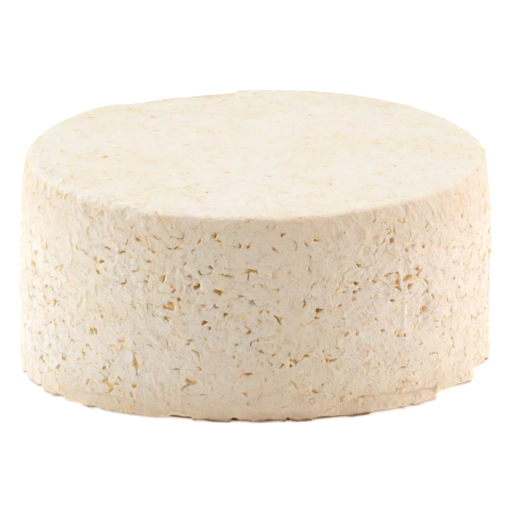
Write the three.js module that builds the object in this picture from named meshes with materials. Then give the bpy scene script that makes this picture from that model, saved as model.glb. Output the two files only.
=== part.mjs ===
// A wheel of fresh white pressed cheese, as it comes out of its mould: one drum of curd in one piece.
// Millimetres, +Z up. The origin is on the surface that the wheel rests on, under its middle.
// Angles go round the Z axis from +X towards +Y, so -90 degrees is the front of the wheel.

import * as THREE from 'three';
import { mergeVertices } from 'three/addons/utils/BufferGeometryUtils.js';

// The drum
const HEIGHT = 90.4; // at the middle of the top face
const BELLY_RADIUS = 99.4; // the lower two thirds, where the curd has settled outwards
const SHOULDER_RADIUS = 97.7; // just below the top edge
const SHOULDER_DROP = 9; // from the top face down to the shoulder
const RIM_WIDTH = 3; // how far the rounding of the top edge reaches in from the shoulder
const RIM_DROP = 3; // and how far it reaches down from the top face
const FOOT_WIDTH = 1.8; // the same two sizes for the rounding of the bottom edge
const FOOT_RISE = 2.6;
const CROWN = 0.6; // how far the middle of the top stands above its edge

// What hand pressing leaves behind
const TOP_TILT_Y = 0.051; // the top rises towards the back, in mm for each mm of Y
const TOP_TILT_X = 0.006;
const OVAL = 0.3; // two-sided unroundness of the outline
const LOBES = 0.2; // three-sided unroundness
const WAVES = 0.25; // slow hollows and swellings of the side

// A shallow oblong dent in the side, front right
const DENT = { angle: -47, height: 40, halfWidth: 6.5, halfHeight: 8.5, depth: 1.1 };

// Places where the bottom edge has broken away: how far round, how wide, how high and how deep
const CHIPS = [
  { angle: -13, halfWidth: 9, rise: 9, depth: 2.2 },
  { angle: -37, halfWidth: 5, rise: 7, depth: 1.4 },
  { angle: 118, halfWidth: 8, rise: 7, depth: 1.6 },
];

const AROUND = 96; // facets round the wheel

const degrees = THREE.MathUtils.degToRad;
const point = (radius, height) => new THREE.Vector2(radius, height);

// Half of the wheel's section, from the middle of the underside out, up and back in to the middle of the top.
function halfSection() {
  const footInner = point(BELLY_RADIUS - FOOT_WIDTH, 0);
  const footCorner = point(BELLY_RADIUS, 0);
  const footOuter = point(BELLY_RADIUS - 0.2, FOOT_RISE);
  const belly = point(BELLY_RADIUS, HEIGHT * 0.3);
  const waist = point(BELLY_RADIUS - 0.3, HEIGHT * 0.65);
  const shoulder = point(SHOULDER_RADIUS, HEIGHT - SHOULDER_DROP);
  const rimOuter = point(SHOULDER_RADIUS - 0.7, HEIGHT - CROWN - RIM_DROP);
  const rimCorner = point(SHOULDER_RADIUS - 1.1, HEIGHT - CROWN);
  const rimInner = point(SHOULDER_RADIUS - RIM_WIDTH - 1.1, HEIGHT - CROWN * 0.9);
  const middle = point(0, HEIGHT);

  const stretches = [
    { curve: new THREE.LineCurve(point(0, 0), footInner), steps: 3 },
    { curve: new THREE.QuadraticBezierCurve(footInner, footCorner, footOuter), steps: 4 },
    { curve: new THREE.SplineCurve([footOuter, belly, waist, shoulder, rimOuter]), steps: 12 },
    { curve: new THREE.QuadraticBezierCurve(rimOuter, rimCorner, rimInner), steps: 4 },
    { curve: new THREE.QuadraticBezierCurve(rimInner, point(SHOULDER_RADIUS / 2, HEIGHT), middle), steps: 6 },
  ];

  const points = [point(0, 0)];
  for (const { curve, steps } of stretches) {
    points.push(...curve.getPoints(steps).slice(1));
  }
  return points;
}

// 1 at the middle of a patch of the side, falling smoothly to 0 outside it.
function patch(angle, height, centre, halfWidth, halfHeight) {
  const turn = Math.atan2(Math.sin(angle - degrees(centre.angle)), Math.cos(angle - degrees(centre.angle)));
  const across = (turn * BELLY_RADIUS) / halfWidth;
  const up = (height - centre.height) / halfHeight;
  return Math.exp(-across * across - up * up);
}

// How far the side stands in (-) or out (+) of the plain drum at one angle and height.
function unevenness(angle, height) {
  const level = height / HEIGHT;
  let offset = OVAL * Math.cos(2 * angle - 0.6) + LOBES * Math.cos(3 * angle + 1.1);
  offset += WAVES * Math.sin(5 * angle + 4 * level) * Math.sin(Math.PI * level);
  offset -= DENT.depth * patch(angle, height, DENT, DENT.halfWidth, DENT.halfHeight);
  for (const chip of CHIPS) {
    offset -= chip.depth * patch(angle, height, { angle: chip.angle, height: 0 }, chip.halfWidth, chip.rise);
  }
  return offset;
}

function cheeseWheel() {
  const turned = new THREE.LatheGeometry(halfSection(), AROUND);
  turned.rotateX(Math.PI / 2);
  turned.deleteAttribute('uv');
  turned.deleteAttribute('normal');
  const geometry = mergeVertices(turned, 1e-3);

  const position = geometry.attributes.position;
  for (let i = 0; i < position.count; i += 1) {
    const x = position.getX(i);
    const y = position.getY(i);
    const z = position.getZ(i);
    const radius = Math.hypot(x, y);
    const angle = Math.atan2(y, x);
    const stretch = 1 + (unevenness(angle, z) * radius) / (BELLY_RADIUS * BELLY_RADIUS);
    const tilt = ((TOP_TILT_Y * y + TOP_TILT_X * x) * z) / HEIGHT;
    position.setXYZ(i, x * stretch, y * stretch, z + tilt);
  }

  geometry.computeBoundingBox();
  const middle = geometry.boundingBox.getCenter(new THREE.Vector3());
  geometry.translate(-middle.x, -middle.y, -geometry.boundingBox.min.z);
  geometry.computeVertexNormals();
  return geometry;
}

const curd = new THREE.MeshStandardMaterial({ color: 0xf2e8d5, roughness: 0.75, metalness: 0 });
const wheel = new THREE.Mesh(cheeseWheel(), curd);
wheel.name = 'cheese_wheel';

const group = new THREE.Group();
group.add(wheel);

export default group;
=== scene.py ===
import itertools
import math

import bmesh
import bpy
import numpy as np
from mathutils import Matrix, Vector


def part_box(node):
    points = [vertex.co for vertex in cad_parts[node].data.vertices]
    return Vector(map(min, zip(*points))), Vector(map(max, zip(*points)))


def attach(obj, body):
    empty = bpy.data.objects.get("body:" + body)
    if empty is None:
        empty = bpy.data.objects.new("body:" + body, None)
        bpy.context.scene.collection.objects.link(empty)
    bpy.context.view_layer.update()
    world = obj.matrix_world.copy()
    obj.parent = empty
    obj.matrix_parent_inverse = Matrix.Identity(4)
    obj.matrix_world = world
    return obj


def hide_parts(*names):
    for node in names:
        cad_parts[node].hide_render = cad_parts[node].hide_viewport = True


bl_info = {
    "name": "Cheese wheel",
    "version": (1, 0, 0),
    "blender": (4, 5, 0),
    "location": "View3D > Sidebar > Cheese",
    "description": "Presses a wheel of fresh white cheese and sets it on a pale studio floor",
    "category": "Object",
}

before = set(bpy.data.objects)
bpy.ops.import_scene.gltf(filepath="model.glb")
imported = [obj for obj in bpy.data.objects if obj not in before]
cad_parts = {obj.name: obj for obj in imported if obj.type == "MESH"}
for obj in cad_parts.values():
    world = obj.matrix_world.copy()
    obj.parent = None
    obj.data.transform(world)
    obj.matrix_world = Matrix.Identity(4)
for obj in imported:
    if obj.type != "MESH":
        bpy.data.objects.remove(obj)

NODE = "cheese_wheel"
PIECE = "cheese_wheel_curd"
MM = 0.001
LOW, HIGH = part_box(NODE)
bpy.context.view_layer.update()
WHEEL_WIDTH = HIGH.x - LOW.x
WHEEL_TALL = HIGH.z - LOW.z

# Marks that this wheel carries. Angles are in degrees round the wheel from +X, so -90 is its front,
# and every length is in millimetres.

# Larger openings in the side: angle, height, half width, half height, slant in degrees, depth
OPENINGS = (
    (-99.5, 77.5, 1.9, 0.6, 35, 1.6),
    (-103, 75, 1.4, 0.6, 68, 1.2),
    (-83.5, 78, 1.3, 0.9, 25, 1.6),
    (-91.5, 73.5, 1.7, 0.6, 58, 1.5),
    (-85.5, 72.5, 1.6, 0.6, -45, 1.6),
    (-78, 74, 1.8, 0.6, -42, 1.4),
    (-75.5, 75, 1.5, 0.6, -6, 1.4),
    (-96.5, 61.5, 3.4, 0.6, -14, 1.8),
    (-103.5, 56.5, 1.6, 1.3, 30, 2.2),
    (-98.5, 54.5, 2.1, 1.2, -35, 2.2),
    (-107.8, 51, 1.2, 0.9, 60, 1.9),
    (-109, 54, 2.0, 0.5, 35, 1.3),
    (-102, 49, 0.9, 0.8, 0, 1.5),
    (-101.8, 42, 1.3, 1.3, 0, 2.0),
    (-100.4, 40, 0.9, 0.8, -30, 1.9),
    (-93, 53, 1.3, 0.6, 0, 1.5),
    (-87, 47, 1.3, 0.7, 0, 1.6),
    (-96.8, 45.5, 1.3, 1.0, 20, 1.6),
    (-78.5, 50, 2.3, 0.6, 80, 1.6),
    (-75, 46.5, 1.3, 1.4, 0, 3.2),
    (-75.6, 43.5, 1.5, 0.6, 0, 1.6),
    (-91.5, 21, 2.4, 0.8, -8, 2.0),
    (-83.6, 24.5, 1.6, 0.7, 35, 1.6),
    (-81.7, 24, 0.9, 0.8, 20, 1.8),
    (-72, 25, 2.2, 0.6, 18, 1.6),
    (-76, 12.5, 1.5, 0.6, -20, 1.4),
    (-56, 71.5, 1.5, 1.1, 40, 2.6),
    (-50, 68, 1.7, 0.6, 15, 1.6),
    (-46.5, 66.5, 1.1, 0.8, -15, 1.5),
    (-65.8, 56, 1.3, 0.9, -40, 2.8),
    (-66, 52.5, 0.8, 0.8, 0, 2.2),
    (-51, 51.5, 1.9, 0.9, 45, 2.2),
    (-48.5, 58.5, 1.1, 1.6, 10, 2.2),
    (-59, 35, 1.0, 0.8, 0, 2.4),
    (-130.5, 32, 1.7, 1.2, -30, 1.6),
    (-123.5, 12.5, 1.4, 0.6, -8, 1.8),
    (-149, 61.5, 1.9, 0.6, 88, 1.6),
)

# Small pits in the top face: x, y, half length across, half width, slant in degrees, depth
TOP_PITS = (
    (-71, 49, 1.6, 0.9, 10, 0.9),
    (-81, -2, 1.6, 0.8, -20, 0.8),
    (-63, -12, 1.8, 1.1, 25, 1.0),
    (-58, -9, 1.4, 0.7, 40, 0.7),
    (-54, -3, 1.2, 0.7, 0, 0.6),
    (12, -64, 2.6, 0.7, -5, 0.8),
    (6, -41, 1.3, 0.9, 0, 0.8),
    (-24, -51, 1.6, 0.9, 15, 0.9),
    (-27, -54, 1.2, 0.7, 0, 0.7),
    (-19, -62, 1.4, 0.8, 0, 0.8),
    (-44, 48, 1.6, 0.8, 0, 0.7),
    (-42, 26, 1.4, 0.8, -15, 0.8),
    (-55, 66, 1.7, 0.9, 0, 1.0),
    (-3, 64, 1.5, 0.8, 10, 0.8),
    (0.5, 87, 1.8, 1.0, 0, 1.0),
    (-52, -34, 1.4, 0.7, 20, 0.7),
    (-12, -35, 1.6, 0.7, 10, 0.7),
    (-29, 6, 1.5, 0.8, -10, 0.7),
    (-15, 22, 1.3, 0.7, 0, 0.6),
    (31, -52, 1.5, 0.8, 0, 0.7),
    (38, 15, 1.4, 0.7, 12, 0.6),
    (58, -28, 1.6, 0.8, -8, 0.7),
    (66, 30, 1.3, 0.7, 0, 0.6),
    (24, 50, 1.4, 0.8, 0, 0.7),
)

# Fold lines that the cloth pressed into the top face: points (x, y) along each
TOP_FOLDS = (
    ((-54.5, 59), (-47, 56.5), (-40, 55.5), (-35.5, 51.5), (-32.5, 52), (-30.5, 55)),
    ((-27, 66.5), (-22, 64.5), (-19, 65), (-14.5, 68.5), (-12, 73.5)),
    ((-11.5, 76), (-9.5, 79), (-6.5, 78), (-3.5, 74.5), (-1, 75.5), (1, 81)),
)

# Places where the bottom edge has broken away: angle where it starts, length along the edge, rise, depth
BITES = (
    (-41.7, 34, 2.6, 5.2),
    (-24, 36, 5.5, 6.5),
    (112, 16, 5, 3.9),
)

# The oblong dent, front right, and the faint ring left of it: angle, height, and half sizes or radius
DENT = {"angle": -48.5, "height": 40, "half_width": 6.4, "half_height": 8.2}
RING = {"angle": -82.3, "height": 33, "radius": 4.2}

# The long roll of curd along the foot, front right: angle of its middle, height there, fall per mm
FRONT_ROLL = {"angle": -54.5, "height": 7.3, "fall": 0.10}

ROLLS_LEFT_OUT_AT = -88  # the foot is plain round this angle
NO_OPENING = -1.5  # value of the opening attribute far from any opening
TILT_TO_THE_RIGHT = 0.006  # the top also rises a little from left to right


class DrumShape(bpy.types.PropertyGroup):
    """Sizes of the plain pressed drum"""

    belly_radius: bpy.props.FloatProperty(
        name="Belly radius", description="Radius of the lower two thirds of the side",
        default=WHEEL_WIDTH / 2 - 0.3 * MM, unit="LENGTH")
    rim_radius: bpy.props.FloatProperty(
        name="Rim radius", description="Radius of the top edge",
        default=WHEEL_WIDTH / 2 - 3.8 * MM, unit="LENGTH")
    height: bpy.props.FloatProperty(
        name="Height", description="Height at the middle of the top face",
        default=WHEEL_TALL - 4.2 * MM, unit="LENGTH")
    crown: bpy.props.FloatProperty(
        name="Crown", description="How far the middle of the top stands above its edge",
        default=0.6 * MM, unit="LENGTH")
    rim_rounding: bpy.props.FloatProperty(
        name="Rim rounding", description="Width of the rounding of the top edge",
        default=2.4 * MM, unit="LENGTH")
    foot_rounding: bpy.props.FloatProperty(
        name="Foot rounding", description="Width of the rounding of the bottom edge",
        default=1.6 * MM, unit="LENGTH")
    top_tilt: bpy.props.FloatProperty(
        name="Top tilt", description="Rise of the top face towards the back, for each unit of depth",
        default=0.051)


class CurdSurface(bpy.types.PropertyGroup):
    """How coarse and how open the pressed curd is"""

    grain_size: bpy.props.FloatProperty(
        name="Grain size", description="Usual width of a curd grain", default=8.5 * MM, unit="LENGTH")
    grain_relief: bpy.props.FloatProperty(
        name="Grain relief", description="How far the middle of a grain swells above its border",
        default=0.34 * MM, unit="LENGTH")
    crevice_depth: bpy.props.FloatProperty(
        name="Crevice depth", description="Depth of the fine lines between grains",
        default=0.22 * MM, unit="LENGTH")
    opening_depth: bpy.props.FloatProperty(
        name="Opening depth", description="Depth of the holes where grains don't meet",
        default=2.2 * MM, unit="LENGTH")
    skin_step: bpy.props.FloatProperty(
        name="Skin step", description="Spacing of the mesh while the curd is shaped",
        default=0.5 * MM, unit="LENGTH")
    triangles: bpy.props.IntProperty(
        name="Triangles", description="Triangles of the finished wheel", default=196000)


class CurdColours(bpy.types.PropertyGroup):
    """Colours of the curd, as linear light"""

    ivory: bpy.props.FloatVectorProperty(
        name="Ivory", description="Pressed surface", subtype="COLOR", size=3, default=(0.87, 0.785, 0.675))
    cream: bpy.props.FloatVectorProperty(
        name="Cream", description="Yellower patches", subtype="COLOR", size=3,
        default=(0.865, 0.765, 0.615))
    blush: bpy.props.FloatVectorProperty(
        name="Blush", description="Pinker patches", subtype="COLOR", size=3, default=(0.88, 0.772, 0.668))
    # painted shade: darker, yellower colour under the shoulder and at the foot, where less light reaches
    painted_shade: bpy.props.FloatVectorProperty(
        name="Whey", description="Yellower foot, where the whey ran down", subtype="COLOR", size=3,
        default=(0.80, 0.66, 0.49))
    # partly the tint of the hair cracks, partly painted shade in them and round their lips
    tan: bpy.props.FloatVectorProperty(
        name="Tan", description="Hair cracks", subtype="COLOR", size=3, default=(0.79, 0.56, 0.28))
    # painted glow: the golden light that the curd scatters out of its openings
    glow_gold: bpy.props.FloatVectorProperty(
        name="Gold", description="Walls of the openings", subtype="COLOR", size=3,
        default=(0.91, 0.635, 0.27))
    # painted shade deep in the openings
    deep_shade_amber: bpy.props.FloatVectorProperty(
        name="Amber", description="Bottom of the openings", subtype="COLOR", size=3,
        default=(0.56, 0.27, 0.05))
    # painted contact shadow along the lowest edge, where the wheel stands on the floor
    contact_shadow: bpy.props.FloatVectorProperty(
        name="Damp edge", description="Lowest edge, where it stands on the floor", subtype="COLOR", size=3,
        default=(0.20, 0.105, 0.035))
    roughness: bpy.props.FloatProperty(
        name="Roughness", description="Usual roughness of the moist surface", default=0.62, min=0, max=1)
    glow: bpy.props.FloatProperty(
        name="Glow", description="Share of the light that goes into the curd and comes out again",
        default=0.6, min=0, max=1)


class StudioSettings(bpy.types.PropertyGroup):
    """Floor, light and camera"""

    camera_distance: bpy.props.FloatProperty(
        name="Camera distance", description="From the camera to the middle of the wheel",
        default=1.6, unit="LENGTH")
    camera_elevation: bpy.props.FloatProperty(
        name="Camera elevation", description="Angle of the camera above the floor",
        default=math.radians(15.2), subtype="ANGLE")
    aim_height: bpy.props.FloatProperty(
        name="Aim height", description="Height that the camera points at", default=43.5 * MM, unit="LENGTH")
    lens: bpy.props.FloatProperty(
        name="Lens", description="Focal length in millimetres on a 36 mm sensor", default=266)
    lamp_power: bpy.props.FloatProperty(
        name="Side lamp power", description="Power of each side softbox in watts", default=3.1)
    top_power: bpy.props.FloatProperty(
        name="Top lamp power", description="Power of the overhead softbox in watts", default=5.65)


# ---------------------------------------------------------------- fields in space
# Lengths are in millimetres. The last whole number in a call of mist, drift or grains is its seed.


def ease(low, high, value):
    """0 at low, 1 at high, and smooth between. Low may be the larger of the two."""
    share = np.clip((value - low) / (high - low), 0, 1)
    return share * share * (3 - 2 * share)


def scatter(cell, salt):
    """A number from 0 to 1 for each whole-numbered cell, always the same for the same cell."""
    word = cell[:, 0] * 374761393 + cell[:, 1] * 668265263 + cell[:, 2] * 1103515245 + salt * 69069
    word = (word & 0xFFFFFFFF) ^ ((word & 0xFFFFFFFF) >> 15)
    word = (word * 1274126177) & 0xFFFFFFFF
    word = ((word ^ (word >> 13)) * 1540483477) & 0xFFFFFFFF
    return (word ^ (word >> 16)) / 0xFFFFFFFF


def mist(points, size, salt, octaves=1):
    """Soft noise from 0 to 1 whose patches are about size across."""
    total = np.zeros(len(points))
    weight = 0
    for octave in range(octaves):
        scaled = points * (2**octave / size) + 17.3 * octave
        cell = np.floor(scaled).astype(np.int64)
        inside = scaled - cell
        inside = inside * inside * (3 - 2 * inside)
        layer = np.zeros(len(points))
        for corner in itertools.product((0, 1), repeat=3):
            share = np.ones(len(points))
            for axis in range(3):
                share *= inside[:, axis] if corner[axis] else 1 - inside[:, axis]
            layer += share * scatter(cell + corner, salt + octave)
        total += layer * 0.5**octave
        weight += 0.5**octave
    return total / weight


def drift(points, size, reach, salt):
    """Moves each point by up to reach, so that lines drawn from the result wander."""
    shift = [mist(points, size, salt + axis) - 0.5 for axis in range(3)]
    return points + 2 * reach * np.stack(shift, axis=1)


def grains(points, size, salt):
    """Distances to the border of the own grain and to the nearest place where three grains meet."""
    scaled = points / size
    home = np.floor(scaled).astype(np.int64)
    count = len(points)
    first, second, third = (np.full(count, 9.0) for _ in range(3))
    own, other = np.zeros((count, 3)), np.zeros((count, 3))
    for step in itertools.product((-1, 0, 1), repeat=3):
        cell = home + step
        centre = cell + np.stack([scatter(cell, salt + axis) for axis in range(3)], axis=1)
        gap = np.linalg.norm(centre - scaled, axis=1)
        nearest = gap < first
        nearer = gap < second
        third = np.where(nearer, second, np.minimum(third, gap))
        second = np.where(nearest, first, np.where(nearer, gap, second))
        other = np.where(nearest[:, None], own, np.where(nearer[:, None], centre, other))
        first = np.where(nearest, gap, first)
        own = np.where(nearest[:, None], centre, own)
    apart = np.maximum(np.linalg.norm(own - other, axis=1), 0.05)
    border = (second**2 - first**2) / (2 * apart)
    return border * size, (third - first) * size


def distance_to_line(places, line):
    """Distance of each place in a plane from a line through a few points."""
    nearest = np.full(len(places), 1e9)
    for start, end in itertools.pairwise(np.array(line, float)):
        run = end - start
        share = np.clip((places - start) @ run / (run @ run), 0, 1)
        nearest = np.minimum(nearest, np.linalg.norm(places - start - share[:, None] * run, axis=1))
    return nearest


# ---------------------------------------------------------------- the wheel


def drum_section(shape):
    """Corner points of half of the drum's section: radius and height, from the axis out, up and back."""
    edge = shape.height - shape.crown
    section = [(0, 0), (shape.belly_radius * 0.5, 0)]
    for level in np.linspace(0, 1, 17):
        narrowing = (shape.belly_radius - shape.rim_radius) * level**6
        section.append((shape.belly_radius - narrowing, edge * level))
    for share in (0.8, 0.5, 0.25, 0):
        section.append((shape.rim_radius * share, edge + shape.crown * (1 - share**2)))
    return section


def spin_drum(shape):
    """The plain drum as a bmesh: the section spun round the axis, with its two edges rounded."""
    bm = bmesh.new()
    corners = [bm.verts.new((radius, 0, height)) for radius, height in drum_section(shape)]
    lines = [bm.edges.new(pair) for pair in itertools.pairwise(corners)]
    bmesh.ops.spin(bm, geom=corners + lines, axis=(0, 0, 1), cent=(0, 0, 0), angle=2 * math.pi,
                   steps=240, use_merge=True)
    bmesh.ops.remove_doubles(bm, verts=bm.verts, dist=1e-6)
    for height, width in ((0, shape.foot_rounding), (shape.height - shape.crown, shape.rim_rounding)):
        ring = [edge for edge in bm.edges
                if all(abs(v.co.z - height) < 1e-5 and v.co.xy.length > shape.rim_radius * 0.97
                       for v in edge.verts)]
        bmesh.ops.bevel(bm, geom=ring, offset=width, offset_type="OFFSET", segments=6, profile=0.5,
                        affect="EDGES", material=-1)
    bmesh.ops.recalc_face_normals(bm, faces=bm.faces)
    return bm


def applied(piece, kind, **settings):
    """The piece's mesh with one modifier applied."""
    modifier = piece.modifiers.new(kind.lower(), kind)
    for name, value in settings.items():
        setattr(modifier, name, value)
    bpy.context.view_layer.update()
    depsgraph = bpy.context.evaluated_depsgraph_get()
    mesh = bpy.data.meshes.new_from_object(piece.evaluated_get(depsgraph), depsgraph=depsgraph)
    piece.modifiers.clear()
    old = piece.data
    piece.data = mesh
    bpy.data.meshes.remove(old)
    return mesh


def read_vectors(items, name):
    """One vector of every item, as rows of an array."""
    flat = np.empty(len(items) * 3, np.float32)
    items.foreach_get(name, flat)
    return flat.reshape(-1, 3).astype(float)


class Skin:
    """The dense skin of the drum as arrays in millimetres, and how far each place is to move."""

    def __init__(self, mesh, shape, curd):
        self.points = read_vectors(mesh.vertices, "co") / MM
        self.normals = read_vectors(mesh.vertex_normals, "vector")
        self.shape = shape
        self.curd = curd
        self.radius = np.hypot(self.points[:, 0], self.points[:, 1])
        self.angle = np.arctan2(self.points[:, 1], self.points[:, 0])
        self.level = self.points[:, 2] / (shape.height / MM)
        slope = shape.top_tilt * self.points[:, 1] + TILT_TO_THE_RIGHT * self.points[:, 0]
        self.tilt = slope * np.clip(self.level, 0, 1)
        self.height = self.points[:, 2] + self.tilt
        self.around = self.angle * shape.belly_radius / MM
        facing_up = self.normals[:, 2]
        self.side = ease(0.85, 0.35, np.abs(facing_up))
        self.top = ease(0.4, 0.9, facing_up)
        self.under = ease(-0.4, -0.9, facing_up)
        self.outwards = np.zeros(len(self.points))  # along the normal
        self.inwards = np.zeros(len(self.points))  # level, towards the axis
        self.sunk = np.zeros(len(self.points))  # depth of the openings
        self.opening = np.full(len(self.points), float(NO_OPENING))  # how far inside an opening's edge; it also sets where painted glow and shade go into the colour
        self.flat = self.points * (1, 1, 1.35)  # grains lie flat, so heights count for more

    def near_angle(self, angle):
        """Distance round the side from one angle, in millimetres."""
        turn = self.angle - math.radians(angle)
        return np.arctan2(np.sin(turn), np.cos(turn)) * self.shape.belly_radius / MM

    def bend(self):
        """Slow hollows, swellings and unroundness of the whole wheel."""
        wave = 0.3 * np.cos(2 * self.angle - 0.6) + 0.2 * np.cos(3 * self.angle + 1.1)
        wave += 1.3 * (mist(self.points, 34, 11, 2) - 0.5)
        wave += 0.9 * (mist(self.flat, 13, 21, 2) - 0.5)
        self.outwards += wave * self.side
        self.outwards += 0.8 * (mist(self.points, 30, 31, 2) - 0.5) * self.top
        rim = ease(0.9, 0.98, self.level) * ease(70, 96, self.radius)
        self.outwards += 1.0 * (mist(self.points, 16, 41, 2) - 0.5) * rim

    def tear_back_edge(self):
        """Behind, left of the middle, a flake has come off the top edge and left it lower."""
        across = self.near_angle(110)
        patch = ease(27, 24, across * -1) * ease(42, 16, across)
        self.outwards -= 2.4 * patch * ease(74, 90, self.radius) * self.top
        self.outwards -= 1.6 * patch * ease(0.8, 0.98, self.level) * (1 - self.top) * self.side

    def press_grains(self):
        """Grains, the crevices between them and the openings where three of them don't meet."""
        relief = self.curd.grain_relief / MM
        places = drift(drift(self.flat, 6, 1.6, 51), 1.6, 0.4, 61)
        border, corner = grains(places, self.curd.grain_size / MM, 71)
        low = ease(0.03, 0.15, self.level)
        high = ease(0.95, 0.72, self.level)
        self.busy = low * (0.15 + 0.85 * high) * ease(0.28, 0.66, mist(self.flat, 26, 81, 2))
        self.busy = np.maximum(self.busy, 0.30 * low * high) * self.side
        self.busy *= 1 - 0.4 * np.exp(-((self.near_angle(-155) / 60) ** 2))
        self.fine = np.maximum(self.busy, 0.10 * self.side + 0.03 * self.top)
        faint = 0.16 * self.top

        pillow = 1 - np.exp(-border / 1.3)
        self.outwards += relief * (pillow - 0.6) * (0.25 + 0.75 * self.busy) * np.maximum(self.side, faint)
        broken = ease(0.42, 0.62, mist(places, 7, 91, 2))
        line = np.exp(-((border / 0.4) ** 2)) * broken * (0.25 * self.side + 0.75 * self.busy + faint)
        self.outwards -= self.curd.crevice_depth / MM * line

        share = np.sqrt(self.busy)
        few = ease(0.60, 0.86, mist(places, 5.5, 101, 2))
        uneven = ease(0.42, 0.62, mist(places, 2.4, 105, 2))
        reach = 1.65 * few * uneven * share
        self.dig(0.6 * (reach - corner), 1.0, 0.5 + mist(self.points, 9, 121))

        border, _ = grains(drift(self.flat, 2.5, 0.9, 131), 3.7, 141)
        self.outwards += 0.08 * (1 - np.exp(-border / 0.7)) * (0.2 * self.side + 0.8 * self.busy)

    def overlap_flakes(self):
        """Thin flakes of curd that overlap: low steps, with a short crack under some of their edges."""
        places = drift(drift(self.flat, 5, 1.2, 301), 1.5, 0.35, 311)
        away = (mist(places, 6.5, 321, 2) - 0.5) * 14  # about the distance from a flake's edge
        self.outwards += 0.28 * ease(-0.35, 0.35, away) * (0.15 + 0.85 * self.busy) * self.side
        short = ease(0.62, 0.78, mist(places, 3.0, 331))
        reach = 0.55 * short * np.sqrt(self.busy)
        self.dig(reach - np.abs(away + 0.3), 0.7, 0.4 + mist(self.points, 9, 335))

        away = (mist(places, 3.4, 341, 2) - 0.5) * 7
        self.outwards += 0.14 * ease(-0.3, 0.3, away) * (0.15 + 0.85 * self.busy) * self.side
        soft = mist(self.flat, 4.0, 361, 3) - 0.5
        self.outwards += 0.6 * soft * self.side + 0.12 * soft * self.top

    def dig(self, inside, depth_share, tone):
        """Adds openings. Inside is how far each place lies within an opening's edge; tone deepens its
        painted glow and shade.
        """
        depth = self.curd.opening_depth / MM * depth_share
        self.sunk = np.maximum(self.sunk, depth * ease(-0.12, 0.5, inside))
        self.opening = np.maximum(self.opening, np.where(inside > 0, inside * tone, inside))

    def open_hole(self, across, up, mark, place):
        """One opening, ragged and three-cornered, at a place given by two distances from its middle."""
        half_width, half_height, slant, depth = mark
        close = np.flatnonzero((np.abs(across) < 6) & (np.abs(up) < 6) & place)
        across, up = across[close] + self.ragged[0][close], up[close] + self.ragged[1][close]
        cosine, sine = math.cos(math.radians(slant)), math.sin(math.radians(slant))
        along = (across * cosine + up * sine) / half_width
        beside = (up * cosine - across * sine) / half_height
        corners = 1 + 0.22 * np.cos(3 * np.arctan2(beside, along) + slant)
        inside = (0.78 * corners - np.hypot(along, beside)) * min(half_width, half_height)
        self.sunk[close] = np.maximum(self.sunk[close], 1.15 * depth * ease(-0.12, 0.5, inside))
        # painted glow and shade of the opening, carried by the opening attribute
        shown = np.where(inside > 0, inside * depth * 0.42, inside)
        self.opening[close] = np.maximum(self.opening[close], shown)

    def open_named_holes(self):
        """The openings that are listed one by one, in the side and in the top."""
        self.ragged = [1.5 * (mist(self.points, 1.5, salt, 2) - 0.5) for salt in (161, 163)]
        for angle, height, *mark in OPENINGS:
            self.open_hole(self.near_angle(angle), self.height - height, mark, self.side > 0)
        for x, y, *mark in TOP_PITS:
            self.open_hole(self.points[:, 0] - x, self.points[:, 1] - y, mark, self.top > 0.5)

    def raise_lips(self):
        """A low swelling round the openings."""
        lip = np.exp(-(((self.opening + 0.5) / 0.4) ** 2))
        patchy = ease(0.3, 0.7, mist(self.points, 4, 165))
        self.outwards += 0.32 * lip * patchy * (self.side + 0.5 * self.top)

    def dent_side(self):
        """A shallow oblong dent with a rough floor, front right, and a faint ring left of it."""
        across = self.near_angle(DENT["angle"])
        up = self.height - DENT["height"]
        ragged = 0.35 * (mist(self.points, 2.2, 171, 2) - 0.5)
        reach = np.abs(across / DENT["half_width"]) ** 3 + np.abs(up / DENT["half_height"]) ** 3
        reach = reach ** (1 / 3) + ragged
        dent = ease(1.1, 0.72, reach) * self.side
        self.outwards -= dent * (0.75 + 0.9 * (mist(self.points, 1.5, 181, 2) - 0.5))
        lip = np.exp(-(((across + 7.2) / 0.8) ** 2)) * ease(9, 6, np.abs(up))
        self.outwards += 0.45 * lip * self.side
        ring = np.hypot(self.near_angle(RING["angle"]), self.height - RING["height"])
        self.outwards -= 0.22 * np.exp(-(((ring - RING["radius"]) / 0.45) ** 2)) * self.side

    def fold_top(self):
        """Fold lines of the cloth in the top face, each with a low flap on its far side and painted shade
        along the line.
        """
        places = drift(drift(self.points, 9, 1.8, 191), 2.5, 0.6, 195)[:, :2]
        faint = 0.9 * ease(0.35, 0.65, mist(self.points, 5, 198, 2))
        for line in TOP_FOLDS:
            away = distance_to_line(places, line)
            self.outwards -= 1.1 * np.exp(-((away / 0.6) ** 2)) * self.top
            # painted shade along the fold line
            shown = np.where(self.top > 0.5, 0.16 - 0.35 * away - faint, NO_OPENING)
            self.opening = np.maximum(self.opening, shown)
            self.outwards += 0.7 * np.exp(-((away / 2.4) ** 2)) * self.top

    def wrinkle_rim(self):
        """Fine slanting wrinkles of the cloth under the top edge, on the left and on the right."""
        leaning = self.around + 0.5 * self.points[:, 2]
        stretched = np.stack([leaning, self.around * 0 + 3, self.points[:, 2] * 0.25], axis=1)
        wrinkle = mist(drift(stretched, 4, 0.8, 201), 1.7, 211, 2) - 0.5
        band = ease(0.80, 0.90, self.level) * ease(1.02, 0.97, self.level) * self.side
        patchy = ease(0.35, 0.6, mist(self.points, 14, 221, 2))
        patchy *= 1 - np.exp(-((self.near_angle(-88) / 24) ** 2))
        self.outwards += 0.9 * wrinkle * band * patchy
        rough = ease(0.86, 0.97, self.level) * ease(80, 93, self.radius)
        rough *= ease(88, 40, np.abs(self.near_angle(-145)))
        self.outwards += 2.4 * (mist(self.points, 2.8, 225, 3) - 0.5) * rough

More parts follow.
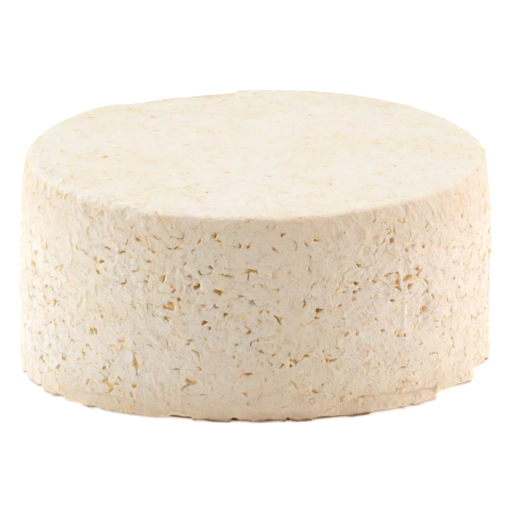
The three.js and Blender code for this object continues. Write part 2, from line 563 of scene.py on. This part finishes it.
    def shape_foot(self):
        """Rolls of curd pressed out at the foot, and the gap under them, with painted shade in the creases.
        """
        height = self.points[:, 2]
        turning = self.points * (1, 1, 0)  # places that differ only round the wheel
        roll_top = 7.5 + 5 * (mist(turning, 22, 231) - 0.5)
        gate = ease(0.42, 0.6, mist(turning, 19, 241))
        gate *= ease(40, 75, np.abs(self.near_angle(ROLLS_LEFT_OUT_AT)))
        across = self.near_angle(FRONT_ROLL["angle"])
        right = ease(25, 21, across) * ease(-27, -12, across)
        front_top = FRONT_ROLL["height"] - FRONT_ROLL["fall"] * across + 1.5 * (mist(turning, 6, 235) - 0.5)
        roll_top += (front_top - roll_top) * right
        gate = np.maximum(gate, right)

        crease = np.exp(-(((height - roll_top) / 0.6) ** 2)) * gate * self.side
        self.outwards -= 0.75 * crease
        # painted shade in the crease above each roll
        shown = crease * gate * 0.5 - 0.45 - 0.8 * mist(self.points, 5, 245)
        self.opening = np.maximum(self.opening, shown)
        self.outwards += 0.3 * gate * ease(roll_top, roll_top - 2.5, height) * self.side
        bulge = np.sqrt(np.sin(math.pi * np.clip(height / roll_top, 0, 1)))
        self.outwards += 1.8 * right * bulge * self.side
        lobes = mist(turning, 9, 251, 2) - 0.5
        self.outwards += 1.5 * lobes * ease(9, 2, height) * ease(1.0, 0.4, self.under)

        swelling = np.exp(-((self.near_angle(-138) / 38) ** 2)) * ease(30, 3, height) * self.side
        self.inwards -= 3.8 * swelling
        tuck = np.exp(-((self.near_angle(-84) / 48) ** 2)) * ease(9, 2, height) * self.side
        self.inwards += 2.0 * tuck
        gap = 0.25 + 0.6 * ease(0.35, 0.75, mist(turning, 7, 261, 2))
        gap += 1.6 * ease(0.68, 0.80, mist(turning, 4.5, 265))
        self.inwards += 2.4 * ease(1.25, 0.45, height / gap) * ease(85, 92, self.radius)
        self.bite_foot(height, lobes)

    def bite_foot(self, height, lobes):
        """Takes the broken pieces off the bottom edge, leaves the curd beside them rounded and paints shade
        on the broken faces.
        """
        for angle, width, rise, depth in BITES:
            across = self.near_angle(angle)
            lobe = 7 * (np.sin(math.pi * (0.2 + 0.6 * np.clip(height / rise, 0, 1))) - 0.6)
            bite = ease(-1.2, 1.2, across - lobe + 1.5) * ease(width, width * 0.3, across)
            bite *= ease(rise, rise * 0.4, height + 1.6 * lobes)
            self.inwards += depth * bite * ease(85, 92, self.radius)
            # painted shade on the broken faces
            shown = bite * (0.3 + mist(self.points, 4, 271, 2)) - 0.75
            self.opening = np.maximum(self.opening, np.where(bite > 0.05, shown, NO_OPENING))

    def moved(self):
        """The skin's points after every move."""
        out = (self.outwards - self.sunk) * (1 - self.under)
        points = self.points + self.normals * out[:, None]
        points[:, 0] -= np.cos(self.angle) * self.inwards
        points[:, 1] -= np.sin(self.angle) * self.inwards
        points[:, 2] = np.maximum(points[:, 2] + self.tilt, 0)
        return points


class CHEESE_OT_wheel(bpy.types.Operator):
    """Presses the wheel: drum, curd grains, openings, foot and cloth marks"""

    bl_idname = "cheese.wheel"
    bl_label = "Press the wheel"

    def execute(self, context):
        scene = context.scene
        shape, curd = scene.cheese_drum, scene.cheese_curd
        bm = spin_drum(shape)
        mesh = bpy.data.meshes.new(PIECE)
        bm.to_mesh(mesh)
        bm.free()
        wheel = bpy.data.objects.new(PIECE, mesh)
        scene.collection.objects.link(wheel)
        mesh = applied(wheel, "REMESH", mode="VOXEL", voxel_size=curd.skin_step, adaptivity=0)

        skin = Skin(mesh, shape, curd)
        skin.bend()
        skin.press_grains()
        skin.overlap_flakes()
        skin.open_named_holes()
        skin.raise_lips()
        skin.dent_side()
        skin.fold_top()
        skin.wrinkle_rim()
        skin.shape_foot()
        skin.tear_back_edge()
        mesh.vertices.foreach_set("co", (skin.moved() * MM).astype(np.float32).ravel())
        # the opening attribute carries painted glow and shade into the colour
        for name, values in (("opening", skin.opening), ("fine", skin.fine)):
            attribute = mesh.attributes.new(name, "FLOAT", "POINT")
            attribute.data.foreach_set("value", values.astype(np.float32))
        mesh.update()

        dense = sum(len(face.vertices) - 2 for face in mesh.polygons)
        if dense > curd.triangles:
            mesh = applied(wheel, "DECIMATE", ratio=curd.triangles / dense, use_collapse_triangulate=True)
        mesh.name = PIECE
        mesh.polygons.foreach_set("use_smooth", [True] * len(mesh.polygons))
        mesh.materials.clear()
        mesh.materials.append(curd_material(scene.cheese_colours))

        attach(wheel, "root")
        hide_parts(NODE)
        return {"FINISHED"}


# ---------------------------------------------------------------- materials


class Wire:
    """A shader value. Arithmetic on it adds Math nodes."""

    def __init__(self, tree, socket):
        self.tree = tree
        self.socket = socket

    def math(self, operation, *values):
        return add_node(self.tree, "ShaderNodeMath", {"operation": operation}, dict(enumerate(values)))

    def __add__(self, other):
        return self.math("ADD", self, other)

    def __sub__(self, other):
        return self.math("SUBTRACT", self, other)

    def __mul__(self, other):
        return self.math("MULTIPLY", self, other)


def add_node(tree, kind, settings=None, inputs=None, output=0):
    """Adds a node, sets it, fills its sockets with values or wires, and gives one of its outputs."""
    node = tree.nodes.new(kind)
    for name, value in (settings or {}).items():
        setattr(node, name, value)
    for name, value in (inputs or {}).items():
        socket = node.inputs[name]
        if isinstance(value, Wire):
            tree.links.new(value.socket, socket)
        else:
            socket.default_value = value
    return Wire(tree, node.outputs[output])


def span(wire, low, high, start=0.0, end=1.0):
    """Maps low..high on a wire smoothly to start..end."""
    return add_node(wire.tree, "ShaderNodeMapRange", {"interpolation_type": "SMOOTHSTEP"},
                    {0: wire, 1: low, 2: high, 3: start, 4: end})


def mix_colours(factor, first, second):
    """One colour into another by a factor wire."""
    first, second = (c if isinstance(c, Wire) else (*c, 1) for c in (first, second))
    return add_node(factor.tree, "ShaderNodeMix", {"data_type": "RGBA"},
                    {0: factor, 6: first, 7: second}, output=2)


def new_material(name):
    """An empty node material and its tree."""
    material = bpy.data.materials.new(name)
    material.use_nodes = True
    tree = material.node_tree
    tree.nodes.clear()
    return material, tree


def noise(tree, place, scale, detail=2.0, roughness=0.5):
    """Soft noise with about scale patches in each metre."""
    return add_node(tree, "ShaderNodeTexNoise", None,
                    {"Vector": place, "Scale": scale, "Detail": detail, "Roughness": roughness})


def stretch(tree, place, scale):
    """Places scaled along each axis, so that what is drawn on them is drawn out the other way."""
    return add_node(tree, "ShaderNodeMapping", None, {"Vector": place, "Scale": scale})


def small_openings(tree, place, fine):
    """Pinholes and hair cracks finer than the mesh: outline, deep middle, and the lip round them."""
    wander = add_node(tree, "ShaderNodeTexNoise", None, {"Vector": place, "Scale": 360, "Detail": 2.0},
                      output="Color")
    moved = add_node(tree, "ShaderNodeVectorMath", {"operation": "MULTIPLY_ADD"},
                     {0: wander, 1: (3.4 * MM, 3.4 * MM, 2.4 * MM), 2: place})
    crowd = span(fine, 0.0, 0.6)  # busy curd has more of them, and larger ones

    cell = add_node(tree, "ShaderNodeTexVoronoi", {"feature": "F1"}, {"Vector": moved, "Scale": 290})
    cell_colour = Wire(tree, cell.socket.node.outputs["Color"])
    chance = add_node(tree, "ShaderNodeSeparateXYZ", None, {0: cell_colour})
    pit = span(chance + crowd * 0.30, 0.80, 1.26, -0.10, 0.25) - cell

    edge = add_node(tree, "ShaderNodeTexVoronoi", {"feature": "DISTANCE_TO_EDGE"},
                    {"Vector": moved, "Scale": 215})
    slit = (noise(tree, place, 520, 1) + crowd * 0.14 - 0.75) * 0.9 - edge
    inside = add_node(tree, "ShaderNodeMath", {"operation": "MAXIMUM"}, {0: pit, 1: slit})
    return span(inside, -0.06, 0.05), span(inside, 0.02, 0.15), span(inside, -0.16, -0.05)


def curd_material(colours):
    """Moist ivory curd: cream and blush patches, openings with painted golden glow and shade, painted shade
    at the shoulder, the foot and the creases, a painted contact shadow at the lowest edge, a fine cloth and
    curd grain.
    """
    material, tree = new_material("fresh curd")
    place = add_node(tree, "ShaderNodeTexCoord", output="Object")
    opening = add_node(tree, "ShaderNodeAttribute", {"attribute_name": "opening"}, output="Fac")
    up = add_node(tree, "ShaderNodeSeparateXYZ", None, {0: place}, output="Z")
    fine = add_node(tree, "ShaderNodeAttribute", {"attribute_name": "fine"}, output="Fac")
    mark, deep, lip = small_openings(tree, place, fine)

    # The pressed surface: patches of cream and blush, and painted shade, darker and yellower, under the
    # shoulder and at the foot, where less light reaches
    creamy = span(noise(tree, place, 30, 2), 0.40, 0.66)
    base = mix_colours(creamy, tuple(colours.ivory), tuple(colours.cream))
    pinker = span(noise(tree, stretch(tree, place, (1, 1, 1.6)), 46, 2), 0.46, 0.70) * 0.5
    base = mix_colours(pinker, base, tuple(colours.blush))
    beside = span(fine, 0.04, 0.09)  # only the side has this much
    # painted shade on the side just under the shoulder
    base = mix_colours(span(up, 58 * MM, 82 * MM) * beside * 0.5, base, tuple(colours.painted_shade))
    across = add_node(tree, "ShaderNodeSeparateXYZ", None, {0: place}, output="Y")
    shade_to_front = span(across, -85 * MM, -40 * MM, 1.0, 0.35)  # painted shade at the foot, strongest at the front
    base = mix_colours(span(up, 17 * MM, 1 * MM) * shade_to_front, base, tuple(colours.painted_shade))

    # The openings: painted glow in gold where they start and painted shade in amber deeper in, with a
    # ragged edge
    ragged = noise(tree, place, 1000, 2, 0.6)
    depth = opening + (ragged - 0.5) * 1.5
    base = mix_colours(span(depth, -0.9, 0.0) * 0.16, base, tuple(colours.glow_gold))
    # small openings: painted shade round their lips and in the cracks, painted glow and shade in their
    # middles
    base = mix_colours(lip * 0.10, base, tuple(colours.tan))
    base = mix_colours(mark * 0.42, base, tuple(colours.tan))
    base = mix_colours(deep * 0.75, base, tuple(colours.glow_gold))
    base = mix_colours(span(deep, 0.6, 1.0) * 0.5, base, tuple(colours.deep_shade_amber))
    base = mix_colours(span(depth, -0.30, 0.25), base, tuple(colours.glow_gold))
    base = mix_colours(span(depth, 0.55, 1.25), base, tuple(colours.deep_shade_amber))
    # painted contact shadow along the lowest edge
    contact_shadow = up + (noise(tree, place, 190, 2) - 0.5) * (1.6 * MM)
    base = mix_colours(span(contact_shadow, 1.4 * MM, 0.6 * MM) * 0.9, base, tuple(colours.contact_shadow))

    # Sheen and relief
    wet = span(noise(tree, place, 150, 2), 0.35, 0.7, colours.roughness - 0.07, colours.roughness + 0.1)
    lumps = noise(tree, place, 330, 2)
    grain = noise(tree, place, 850, 3, 0.6)
    cloth = noise(tree, stretch(tree, place, (1, 0.25, 1)), 240, 2)
    relief = lumps * 0.42 + grain * 0.28 + cloth * 0.15 + lip * 0.12 - mark * 0.16 - deep * 0.35
    relief += span(depth, -1.0, -0.3) * 0.20 - span(depth, -0.35, 0.4) * 0.40
    normal = add_node(tree, "ShaderNodeBump", None,
                      {"Strength": 0.8, "Distance": 1.0 * MM, "Height": relief})
    shader = add_node(tree, "ShaderNodeBsdfPrincipled", {"subsurface_method": "RANDOM_WALK"}, {
        "Base Color": base,
        "Roughness": wet,
        "Normal": normal,
        "Subsurface Weight": colours.glow,
        "Subsurface Radius": (1.0, 0.6, 0.3),
        "Subsurface Scale": 1.8 * MM,
        "IOR": 1.38,
        "Specular IOR Level": 0.35,
    })
    add_node_output(tree, shader)
    return material


def add_node_output(tree, shader):
    """Links a shader to the material's surface."""
    output = tree.nodes.new("ShaderNodeOutputMaterial")
    tree.links.new(shader.socket, output.inputs["Surface"])


def floor_material():
    """Pale, evenly lit studio floor."""
    material, tree = new_material("pale floor")
    place = add_node(tree, "ShaderNodeTexCoord", output="Object")
    tone = span(noise(tree, place, 3, 2), 0.3, 0.7)
    shader = add_node(tree, "ShaderNodeBsdfPrincipled", None, {
        "Base Color": mix_colours(tone, (0.84, 0.84, 0.84), (0.86, 0.86, 0.86)),
        "Roughness": 0.9,
        "Specular IOR Level": 0.0,
        "Emission Color": (1.0, 1.0, 1.0, 1.0),
        "Emission Strength": 0.37,
    })
    add_node_output(tree, shader)
    return material


# ---------------------------------------------------------------- the studio


def add_area_lamp(name, place, aim, size, power, colour):
    """A softbox that shines on the aim and that the camera doesn't see."""
    data = bpy.data.lights.new(name, "AREA")
    data.shape = "RECTANGLE"
    data.size, data.size_y = size
    data.energy = power
    data.color = colour
    lamp = bpy.data.objects.new(name, data)
    lamp.location = place
    lamp.visible_camera = False
    lamp.rotation_euler = (Vector(aim) - Vector(place)).to_track_quat("-Z", "Y").to_euler()
    bpy.context.scene.collection.objects.link(lamp)
    return lamp


def studio_world():
    """White from above, behind and beside; dim and warm from the front, where the room is dark. The part
    below the horizon stands for the light that the floor sends back."""
    world = bpy.data.worlds.new("studio")
    world.use_nodes = True
    tree = world.node_tree
    tree.nodes.clear()
    way = add_node(tree, "ShaderNodeTexCoord", output="Generated")
    forwards = add_node(tree, "ShaderNodeSeparateXYZ", None, {0: way}, output="Y")
    upwards = add_node(tree, "ShaderNodeSeparateXYZ", None, {0: way}, output="Z")
    dome = mix_colours(span(upwards, 0.06, 0.22), (1.0, 1.0, 1.0), (0.60, 0.63, 0.67))
    front = span(forwards, -0.10, -0.75)
    above = mix_colours(front, dome, (0.17, 0.11, 0.055))
    below = mix_colours(front, (1.52, 1.55, 1.70), (1.00, 0.945, 0.87))
    colour = mix_colours(span(upwards, -0.01, -0.03), above, below)
    background = add_node(tree, "ShaderNodeBackground", None, {"Color": colour, "Strength": 1.0})
    output = tree.nodes.new("ShaderNodeOutputWorld")
    tree.links.new(background.socket, output.inputs["Surface"])
    return world


class CHEESE_OT_studio(bpy.types.Operator):
    """Lays the floor, sets the lamps and places the camera"""

    bl_idname = "cheese.studio"
    bl_label = "Set up the studio"

    def execute(self, context):
        scene = context.scene
        studio = scene.cheese_studio
        bm = bmesh.new()
        bmesh.ops.create_circle(bm, cap_ends=True, radius=30, segments=96)
        mesh = bpy.data.meshes.new("floor")
        bm.to_mesh(mesh)
        bm.free()
        mesh.materials.append(floor_material())
        floor = bpy.data.objects.new("floor", mesh)
        scene.collection.objects.link(floor)
        floor.visible_diffuse = False  # the world below the horizon stands in for the floor's light

        scene.world = studio_world()
        aim = (0, 0, studio.aim_height)
        side_size, top_size = (0.5, 0.6), (1.0, 1.0)
        add_area_lamp("left softbox", (-0.84, -0.33, 0.35), aim, side_size,
                      studio.lamp_power * 1.4, (0.80, 0.90, 0.99))
        add_area_lamp("right softbox", (0.86, -0.28, 0.35), aim, side_size,
                      studio.lamp_power * 1.2, (1.0, 0.95, 0.97))
        add_area_lamp("overhead softbox", (0, 0.1, 1.1), aim, top_size,
                      studio.top_power, (0.85, 0.915, 0.95))

        data = bpy.data.cameras.new("camera")
        data.lens = studio.lens
        data.clip_start, data.clip_end = 0.05, 60
        camera = bpy.data.objects.new("camera", data)
        back = Vector((0, -math.cos(studio.camera_elevation), math.sin(studio.camera_elevation)))
        camera.location = Vector(aim) + back * studio.camera_distance
        camera.rotation_euler = (-back).to_track_quat("-Z", "Y").to_euler()
        scene.collection.objects.link(camera)
        scene.camera = camera
        scene.view_settings.view_transform = "Standard"
        scene.view_settings.look = "None"
        return {"FINISHED"}


# ---------------------------------------------------------------- the add-on


class CHEESE_PT_panel(bpy.types.Panel):
    """Lists the steps that make the wheel"""

    bl_idname = "CHEESE_PT_panel"
    bl_label = "Cheese wheel"
    bl_space_type = "VIEW_3D"
    bl_region_type = "UI"
    bl_category = "Cheese"

    def draw(self, context):
        for operator in (CHEESE_OT_wheel, CHEESE_OT_studio):
            self.layout.operator(operator.bl_idname)
        for name in SETTINGS:
            box = self.layout.box()
            group = getattr(context.scene, name)
            for prop in group.__annotations__:
                box.prop(group, prop)


SETTINGS = {
    "cheese_drum": DrumShape,
    "cheese_curd": CurdSurface,
    "cheese_colours": CurdColours,
    "cheese_studio": StudioSettings,
}
CLASSES = (*SETTINGS.values(), CHEESE_OT_wheel, CHEESE_OT_studio, CHEESE_PT_panel)


def register():
    for made in CLASSES:
        bpy.utils.register_class(made)
    for name, group in SETTINGS.items():
        setattr(bpy.types.Scene, name, bpy.props.PointerProperty(type=group))


def unregister():
    for name in SETTINGS:
        delattr(bpy.types.Scene, name)
    for made in reversed(CLASSES):
        bpy.utils.unregister_class(made)


def main():
    register()
    bpy.ops.cheese.wheel()
    bpy.ops.cheese.studio()


if __name__ == "__main__":
    main()
